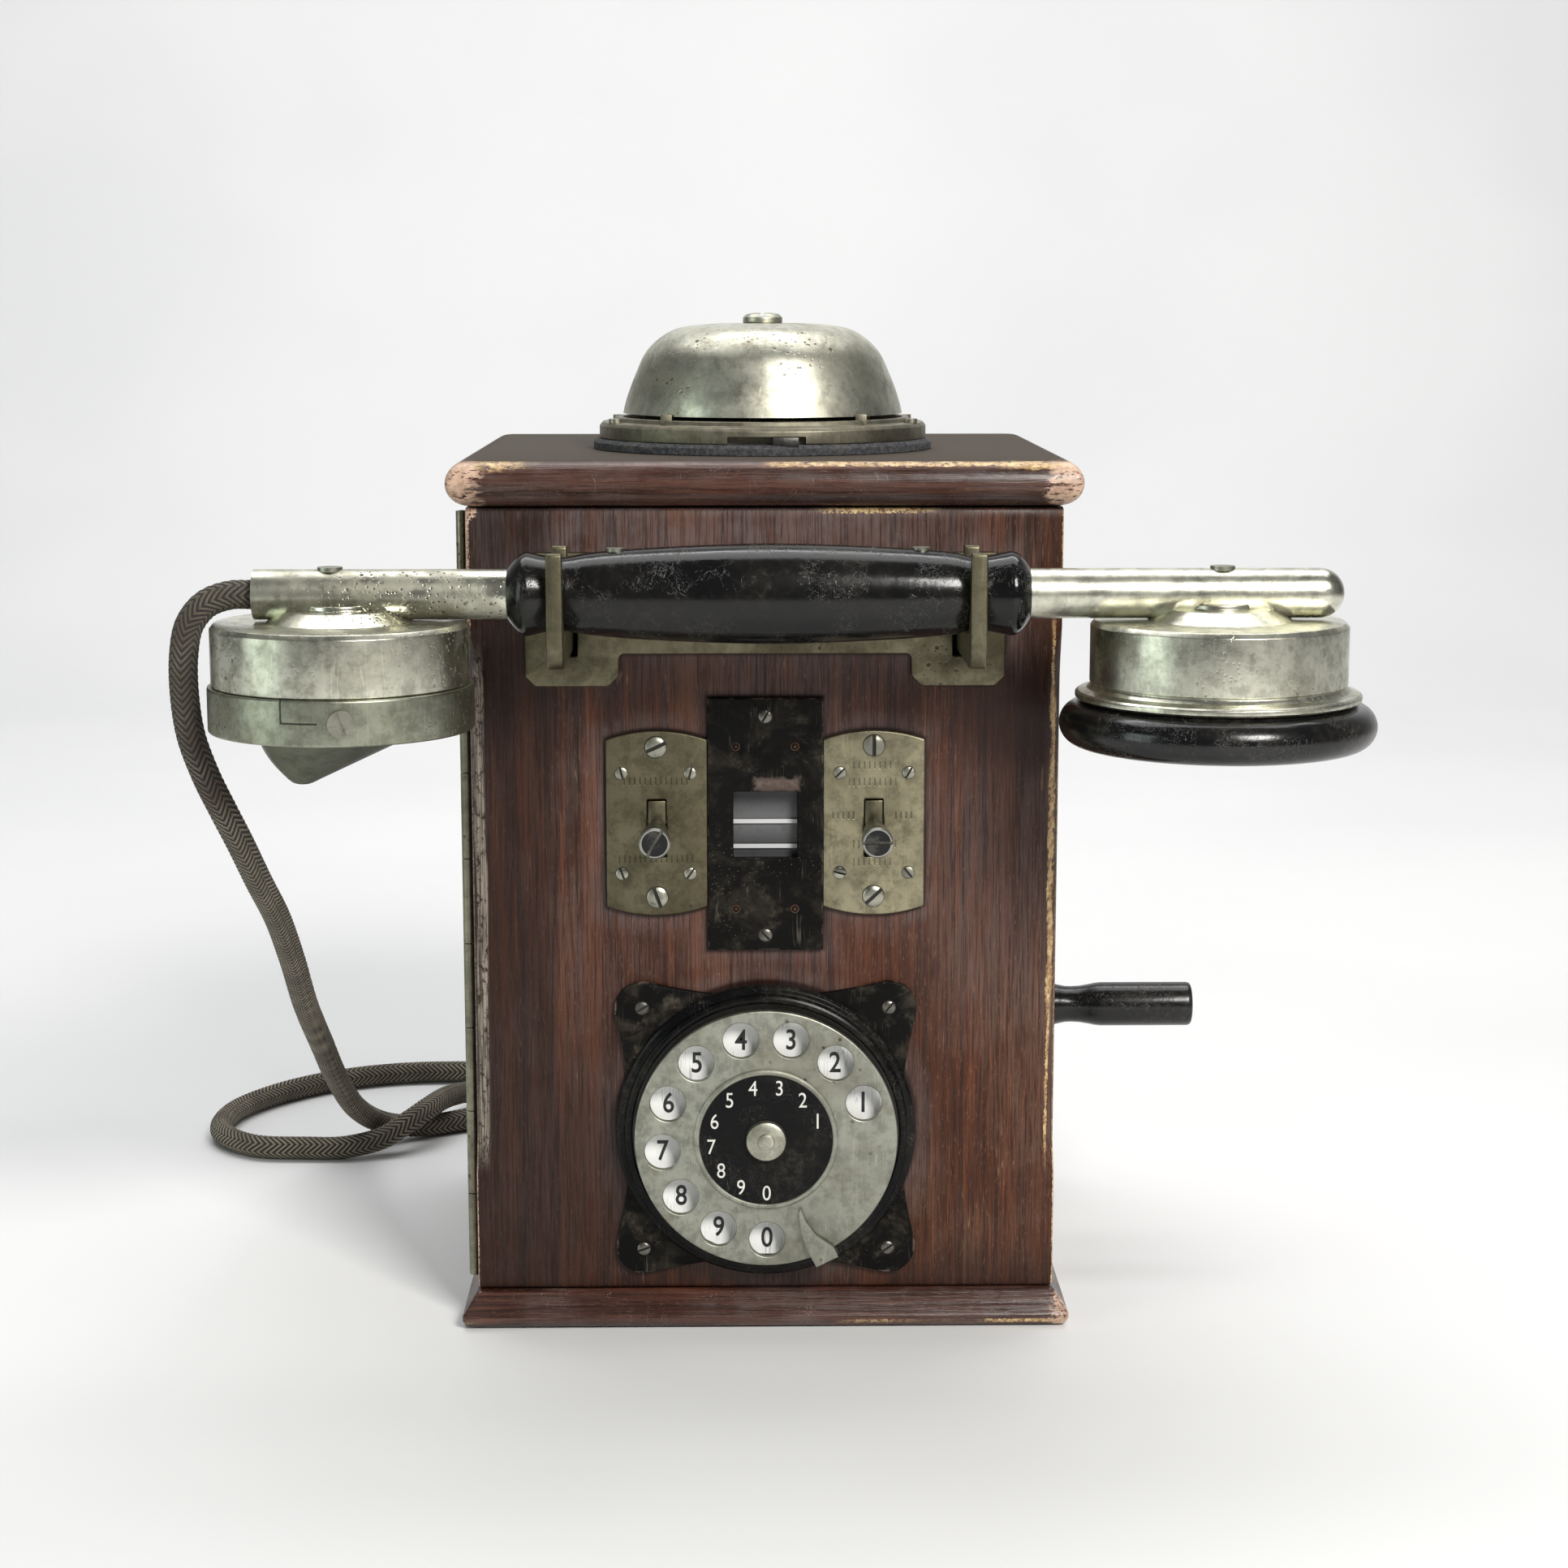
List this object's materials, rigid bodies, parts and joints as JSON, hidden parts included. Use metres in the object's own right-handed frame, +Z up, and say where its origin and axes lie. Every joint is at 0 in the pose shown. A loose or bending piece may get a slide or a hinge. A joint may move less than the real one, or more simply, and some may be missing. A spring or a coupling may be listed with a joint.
{
  "type": "wall crank telephone",
  "caption": "Wooden wall telephone with a hinged door, dial, line keys, roof bell, side crank and a handset resting in two forks.",
  "frame": {"origin": "centre of the cabinet's underside", "axes": "+Z up, +Y from the door towards the wall, +X towards the crank"},
  "size_m": [0.3652, 0.3543, 0.2957],
  "materials": {
    "wood": "worn satin varnish",
    "hinge_metal": "aged",
    "nickel": "aged nickel plate",
    "aged_nickel_silver": "aged",
    "steel": "dull",
    "ebonite": "glossy, scratched",
    "black_enamel": "worn black enamel",
    "gasket": "matt",
    "white_enamel": "enamel",
    "brass": "satin",
    "coil": "lacquered winding",
    "magnet_iron": "painted",
    "phenolic": "moulded",
    "cord_braid": "herringbone braid"
  },
  "bodies": {
    "cabinet": {"base_board": "wood", "side_left": "wood", "side_right": "wood", "back_board": "wood", "top_board": "wood", "hinge_leaf_case": "hinge_metal", "hinge_pin": "hinge_metal", "crank_bush": "nickel", "cord_gland": "ebonite", "bell_gasket": "gasket", "bell_base_ring": "nickel", "bell_ring_screws": "steel", "bell_gong": "nickel", "bell_screw": "nickel", "ringer_frame": "steel", "ringer_coils": "coil", "magneto_frame": "steel", "magneto_magnets": "magnet_iron", "induction_coil": "coil", "terminal_strip": "phenolic", "cord_lower": "cord_braid"},
    "door": {"door_panel": "wood", "hinge_leaf_door": "hinge_metal", "hook_backplate": "aged_nickel_silver", "plate_screws": "steel", "key_plate_left": "aged_nickel_silver", "key_plate_right": "aged_nickel_silver", "indicator_plate": "black_enamel", "indicator_housing": "steel", "dial_base_plate": "black_enamel", "dial_ring": "black_enamel", "dial_number_plate": "white_enamel", "dial_finger_stop": "nickel", "dial_mechanism": "brass", "contact_springs": "brass"},
    "handset": {"handset_grip": "ebonite", "handset_tube": "nickel", "handset_screws": "steel", "mic_cup": "nickel", "mic_capsule": "brass", "ear_cup": "nickel", "ear_cap": "ebonite", "receiver_unit": "coil", "receiver_diaphragm": "steel", "cord_upper": "cord_braid"},
    "mouth_ring": {"mic_ring": "nickel", "mouthpiece": "nickel"},
    "cradle": {"cradle": "aged_nickel_silver"},
    "key_left": {"key_lever_left": "steel"},
    "key_right": {"key_lever_right": "steel"},
    "finger_wheel": {"dial_finger_wheel": "nickel", "dial_label_disc": "black_enamel", "dial_nut": "nickel"},
    "shutter": {"indicator_shutter": "white_enamel"},
    "crank": {"crank_shaft": "nickel", "drive_gear": "brass", "crank_arm": "black_enamel"},
    "crank_grip": {"crank_handle": "ebonite"},
    "armature": {"magneto_armature": "coil"},
    "clapper": {"bell_clapper": "brass"}
  },
  "joints": [
    {"name": "door_hinge", "type": "hinge", "parent": "cabinet", "child": "door", "pos_m": [-0.0869, -0.066, 0.126], "axis": [0, 0, -1], "range_deg": [0, 100]},
    {"name": "handset_lift", "type": "slide", "parent": "door", "child": "handset", "axis": [0, 0, 1], "range_m": [0, 0.04]},
    {"name": "cradle_rise", "type": "slide", "parent": "door", "child": "cradle", "axis": [0, 0, 1], "range_m": [0, 0.005]},
    {"name": "mouth_ring_twist", "type": "hinge", "parent": "handset", "child": "mouth_ring", "pos_m": [-0.1162, -0.114, 0.19], "axis": [0, 0, 1], "range_deg": [0, 24]},
    {"name": "key_left_tilt", "type": "hinge", "parent": "door", "child": "key_left", "pos_m": [-0.03125, -0.064, 0.1495], "axis": [1, 0, 0], "range_deg": [-15, 15], "stiffness_Nm_per_rad": 0.05},
    {"name": "key_right_tilt", "type": "hinge", "parent": "door", "child": "key_right", "pos_m": [0.03125, -0.064, 0.1495], "axis": [1, 0, 0], "range_deg": [-15, 15], "stiffness_Nm_per_rad": 0.05},
    {"name": "dial_turn", "type": "hinge", "parent": "door", "child": "finger_wheel", "pos_m": [0, -0.09, 0.06], "axis": [0, 1, 0], "range_deg": [0, 325], "stiffness_Nm_per_rad": 0.01, "springref_deg": -57.3},
    {"name": "shutter_lift", "type": "slide", "parent": "door", "child": "shutter", "axis": [0, 0, 1], "range_m": [0, 0.003]},
    {"name": "crank_turn", "type": "hinge", "parent": "cabinet", "child": "crank", "pos_m": [0.08, 0.002, 0.122], "axis": [1, 0, 0], "continuous": true},
    {"name": "crank_grip_spin", "type": "hinge", "parent": "crank", "child": "crank_grip", "pos_m": [0.11, 0.002, 0.077], "axis": [1, 0, 0], "continuous": true},
    {"name": "armature_spin", "type": "hinge", "parent": "cabinet", "child": "armature", "pos_m": [0, 0.0322, 0.122], "axis": [1, 0, 0], "continuous": true},
    {"name": "clapper_swing", "type": "hinge", "parent": "cabinet", "child": "clapper", "pos_m": [0.028, -0.011, 0.224], "axis": [0, 1, 0], "range_deg": [-4, 4], "stiffness_Nm_per_rad": 0.03}
  ],
  "couplings": [
    {"joint": "cradle_rise", "follows": "handset_lift", "ratio": 0.125},
    {"joint": "armature_spin", "follows": "crank_turn", "ratio": -4}
  ]
}
